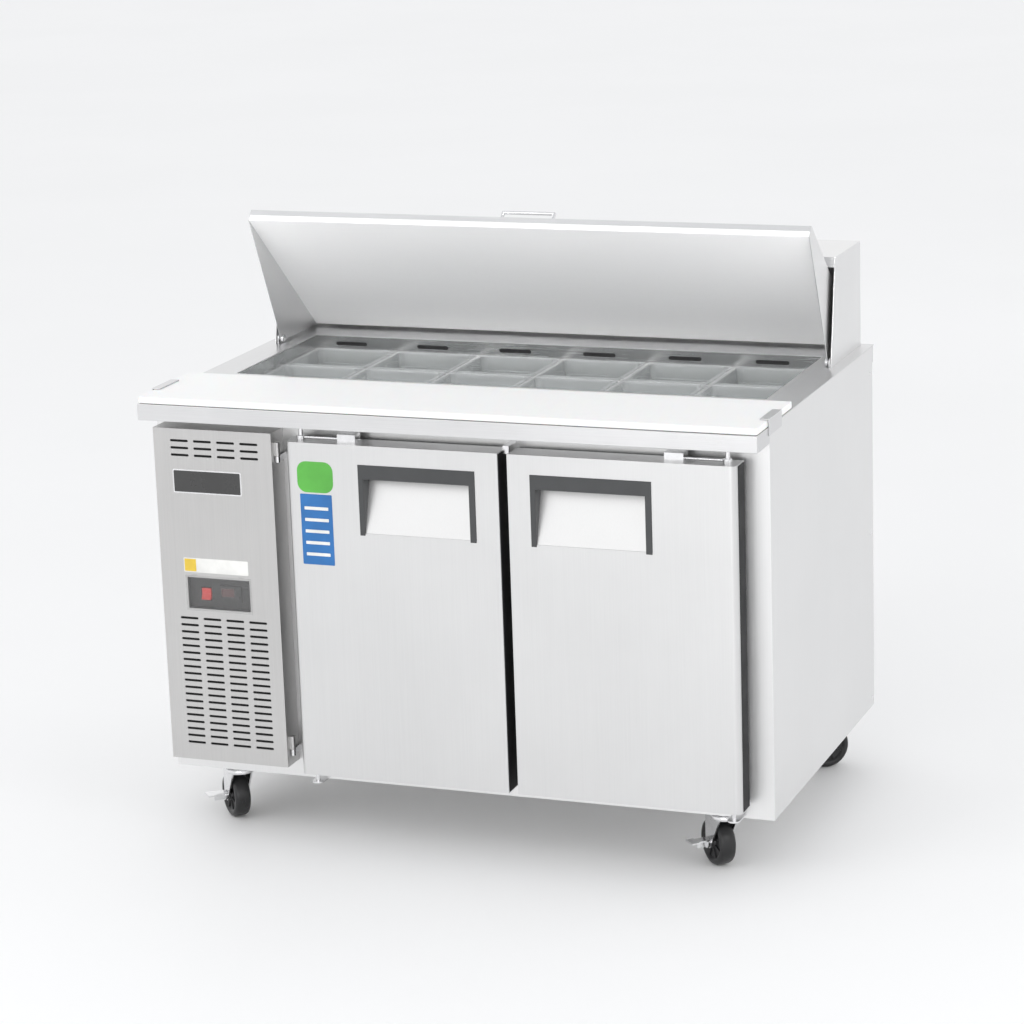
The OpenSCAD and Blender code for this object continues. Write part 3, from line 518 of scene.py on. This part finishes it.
# A domed socket head of radius 1: height and radius, from the rim to the socket's floor
SCREW = [(0.0, 1.0), (0.14, 0.99), (0.32, 0.86), (0.44, 0.6), (0.46, 0.34), (0.3, 0.3), (0.22, 0.0001)]


SCREW_R = 0.0035


def screws(name, places, axis):
    """Domed socket screws on the cabinet, all facing along one axis."""
    bm = bmesh.new()
    for point in places:
        turned(bm, [(h * SCREW_R, r * SCREW_R) for h, r in SCREW], Vector(point), axis, 20)
    piece(name, bm, "chrome", "cabinet")


shell_low, shell_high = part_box("cabinet_shell")
screw_low, screw_high = shell_low.z + 0.02, shell_high.z - 0.05

for side, x, axis in (("left", shell_low.x, (-1, 0, 0)), ("right", shell_high.x, (1, 0, 0))):
    heights = (screw_low, shell_low.z + 0.36, screw_high)
    screws(f"side_screws_{side}", [(x, shell_high.y - 0.018, z) for z in heights], axis)

back_spots = [(x, shell_high.y, z)
              for x in (shell_low.x + 0.02, -0.3, 0.0, 0.3, shell_high.x - 0.02)
              for z in (screw_low, screw_high)]
screws("back_screws", back_spots, (0, 1, 0))


# ---------------------------------------------------------------- labels


LABEL_T = 0.0004


def sticker(name, node, x, z, look, body, corner=0.002, lift=0.0):
    """A thin label on a node's front face, between two distances from its left and its bottom."""
    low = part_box(node)[0]
    front = low.y - lift
    bm = bmesh.new()
    plate(bm, Vector((low.x + x[0], front - LABEL_T, low.z + z[0])),
          Vector((low.x + x[1], front, low.z + z[1])), corner, LABEL_T / 2)
    piece(name, bm, look, body)


# Blank plates and labels: node, body, then each one's name, X and Z range, look, corner and lift
STICKERS = (
    ("machine_panel", "machine_door", (
        ("name_plate", (0.036, 0.178), (0.528, 0.574), "chrome", 0.003, 0.0),
        ("name_plate_face", (0.0385, 0.1755), (0.5305, 0.5715), "plate", 0.002, LABEL_T),
    )),
    ("temperature_controller", "cabinet", (
        ("controller_bezel", (0.0025, 0.0325), (0.0085, 0.0275), "handle", 0.0015, 0.0),
        ("controller_display", (0.004, 0.031), (0.010, 0.026), "screen", 0.001, LABEL_T),
    )),
    ("machine_panel", "machine_door", (
        ("panel_label", (0.048, 0.182), (0.374, 0.402), "label", 0.002, 0.0),
        ("panel_label_mark", (0.050, 0.074), (0.376, 0.400), "label_yellow", 0.001, LABEL_T),
    )),
    ("left_door_skin", "left_door", (
        ("door_label", (0.026, 0.090), (0.415, 0.550), "label_blue", 0.002, 0.0),
        ("door_label_cap", (0.022, 0.094), (0.553, 0.612), "label_green", 0.018, 0.0),
    )),
)
for node, body, labels in STICKERS:
    for name, x, z, look, corner, lift in labels:
        sticker(name, node, x, z, look, body, corner, lift)

for row in range(5):
    level = 0.432 + 0.022 * row
    sticker(f"door_label_band_{row}", "left_door_skin", (0.034, 0.082), (level, level + 0.006),
            "label", "left_door", 0.001, LABEL_T)


# ---------------------------------------------------------------- trims and painted gap shade


def air_filter():
    """Black filter mats behind the panel's louvres, so that no light shows through them."""
    low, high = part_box("machine_panel")
    sheet = 0.0015
    front = low.y + sheet + 0.0006
    bm = bmesh.new()
    for bottom, top in ((0.020, 0.292), (0.590, 0.640)):
        plate(bm, Vector((low.x + 0.012, front, low.z + bottom)),
              Vector((high.x - 0.012, front + 0.004, low.z + top)), 0.006, 0.001)
    piece("air_filter", bm, "filter", "machine_door")


def door_gap_shade_strips():
    """Black strips on the doors' sides, painted shade for the dark gaps between the doors and beside them;
    on a rounded outer corner they start behind the curve.
    """
    thick, soft = 0.0008, 0.0006
    for side, rounded in (("left", 0), ("right", 1)):
        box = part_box(f"{side}_door_skin")
        bm = bmesh.new()
        for end, out in ((0, -1), (1, 1)):
            x = box[end].x
            y0 = box[0].y + (0.0125 if end == rounded else 0.003)
            y1 = box[1].y - 0.001
            z0, z1 = box[0].z + 0.002, box[1].z - 0.002
            rings = []
            for z, inset in ((z0, soft), (z0 + soft, 0), (z1 - soft, 0), (z1, soft)):
                rings.append([Vector((x, y0 + inset, z)), Vector((x + out * thick, y0 + soft + inset, z)),
                              Vector((x + out * thick, y1 - soft - inset, z)), Vector((x, y1 - inset, z))])
            skin(bm, rings)
        piece(f"{side}_door_gap_shade", bm, "gasket", f"{side}_door")


air_filter()
door_gap_shade_strips()


# ---------------------------------------------------------------- refrigeration parts


def fins(name, x, y, z, pitch):
    """Thin fins that stand proud of both faces of a heat exchanger's core."""
    bm = bmesh.new()
    half = 0.0002
    count = int((x[1] - x[0]) / pitch)
    for i in range(count + 1):
        at = x[0] + i * pitch
        for front, back in ((y[0] - 0.0025, y[0] + 0.0004), (y[1] - 0.0004, y[1] + 0.0008)):
            corners = ((-half, front), (half, front), (half, back), (-half, back))
            skin(bm, [[Vector((at + dx, fy, level)) for dx, fy in corners] for level in z])
    piece(name, bm, "fins", "cabinet")


cond_low, cond_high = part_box("condenser")
fins("condenser_fins", (cond_low.x + 0.010, cond_high.x - 0.010), (cond_low.y, cond_low.y + 0.050),
     (cond_high.z - 0.185, cond_high.z - 0.008), 0.003)

comp_low, comp_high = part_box("compressor")
comp_top = Vector(((comp_low.x + comp_high.x) / 2, (comp_low.y + comp_high.y) / 2 + 0.01,
                   comp_high.z - 0.02))
inlet_x, inlet_z = cond_low.x + 0.006, cond_high.z - 0.03
tube("discharge_tube",
     [comp_top, comp_top + Vector((0.0, 0.0, 0.06)), comp_top + Vector((-0.03, -0.10, 0.11)),
      Vector((inlet_x, comp_low.y - 0.05, inlet_z)), Vector((inlet_x, cond_low.y + 0.09, inlet_z))],
     0.004, "copper", "cabinet")


# ---------------------------------------------------------------- camera, light and floor


def camera():
    """Stands to the right of the front and looks down a little."""
    data = bpy.data.cameras.new("camera")
    data.sensor_width = 36.0
    data.lens = 114.6
    yaw, pitch, roll = math.radians(21.26), math.radians(-14.58), math.radians(-2.0)
    obj = bpy.data.objects.new("camera", data)
    turn = (Matrix.Rotation(yaw, 4, "Z") @ Matrix.Rotation(math.pi / 2 + pitch, 4, "X")
            @ Matrix.Rotation(roll, 4, "Z"))
    obj.matrix_world = Matrix.Translation((2.201, -5.694, 2.169)) @ turn
    bpy.context.scene.collection.objects.link(obj)
    bpy.context.scene.camera = obj


def softbox(name, at, target, size, power, spread_deg=180):
    """A rectangular lamp that faces its target; a small spread keeps its light in a beam."""
    data = bpy.data.lights.new(name, "AREA")
    data.shape = "RECTANGLE"
    data.size, data.size_y = size
    data.energy = power
    data.spread = math.radians(spread_deg)
    obj = bpy.data.objects.new(name, data)
    obj.location = at
    obj.rotation_euler = (Vector(target) - Vector(at)).to_track_quat("-Z", "Y").to_euler()
    bpy.context.scene.collection.objects.link(obj)


def studio():
    """A white room that is darker towards the zenith, and its lamps."""
    world = bpy.data.worlds.new("studio")
    world.use_nodes = True
    tree = world.node_tree
    background = tree.nodes["Background"]
    where = tree.nodes.new("ShaderNodeTexCoord")
    split = tree.nodes.new("ShaderNodeSeparateXYZ")
    ramp = tree.nodes.new("ShaderNodeValToRGB")
    tree.links.new(where.outputs["Generated"], split.inputs[0])
    tree.links.new(split.outputs["Z"], ramp.inputs["Fac"])
    tree.links.new(ramp.outputs["Color"], background.inputs["Color"])
    ramp.color_ramp.elements[0].color = (1.0, 1.0, 1.0, 1)
    ramp.color_ramp.elements[0].position = 0.25
    ramp.color_ramp.elements[1].color = (0.72, 0.73, 0.75, 1)
    ramp.color_ramp.elements[1].position = 1.0
    background.inputs["Strength"].default_value = 1.08
    bpy.context.scene.world = world
    softbox("key", (-2.6, -3.6, 3.6), (0, 0, 0.6), (3.0, 2.0), 35)
    softbox("fill", (3.8, -2.0, 2.4), (0, 0, 0.6), (2.0, 2.0), 20)
    softbox("front", (0.6, -4.6, 0.9), (0, 0, 0.9), (3.0, 1.2), 22)
    softbox("lid_light", (0.1, -3.0, 2.0), (0, 0.22, 1.03), (2.0, 0.3), 0.6, 12)


def floor():
    """A wide pale floor with a faint unevenness."""
    mat, shader = principled("floor", Roughness=0.6)
    clouds = noise(mat, (0.8, 0.8, 0.8), detail=3.0)
    link(mat, shade(mat, clouds, (0.95, 0.95, 0.95), (0.97, 0.97, 0.97)), shader.inputs["Base Color"])
    bm = bmesh.new()
    reach = 30.0
    corners = ((-reach, -reach), (reach, -reach), (reach, reach), (-reach, reach))
    bm.faces.new([bm.verts.new((x, y, 0)) for x, y in corners])
    mesh = bpy.data.meshes.new("floor")
    bm.to_mesh(mesh)
    bm.free()
    mesh.materials.append(mat)
    obj = bpy.data.objects.new("floor", mesh)
    bpy.context.scene.collection.objects.link(obj)


camera()
studio()
floor()
bpy.context.scene.view_settings.view_transform = "Standard"
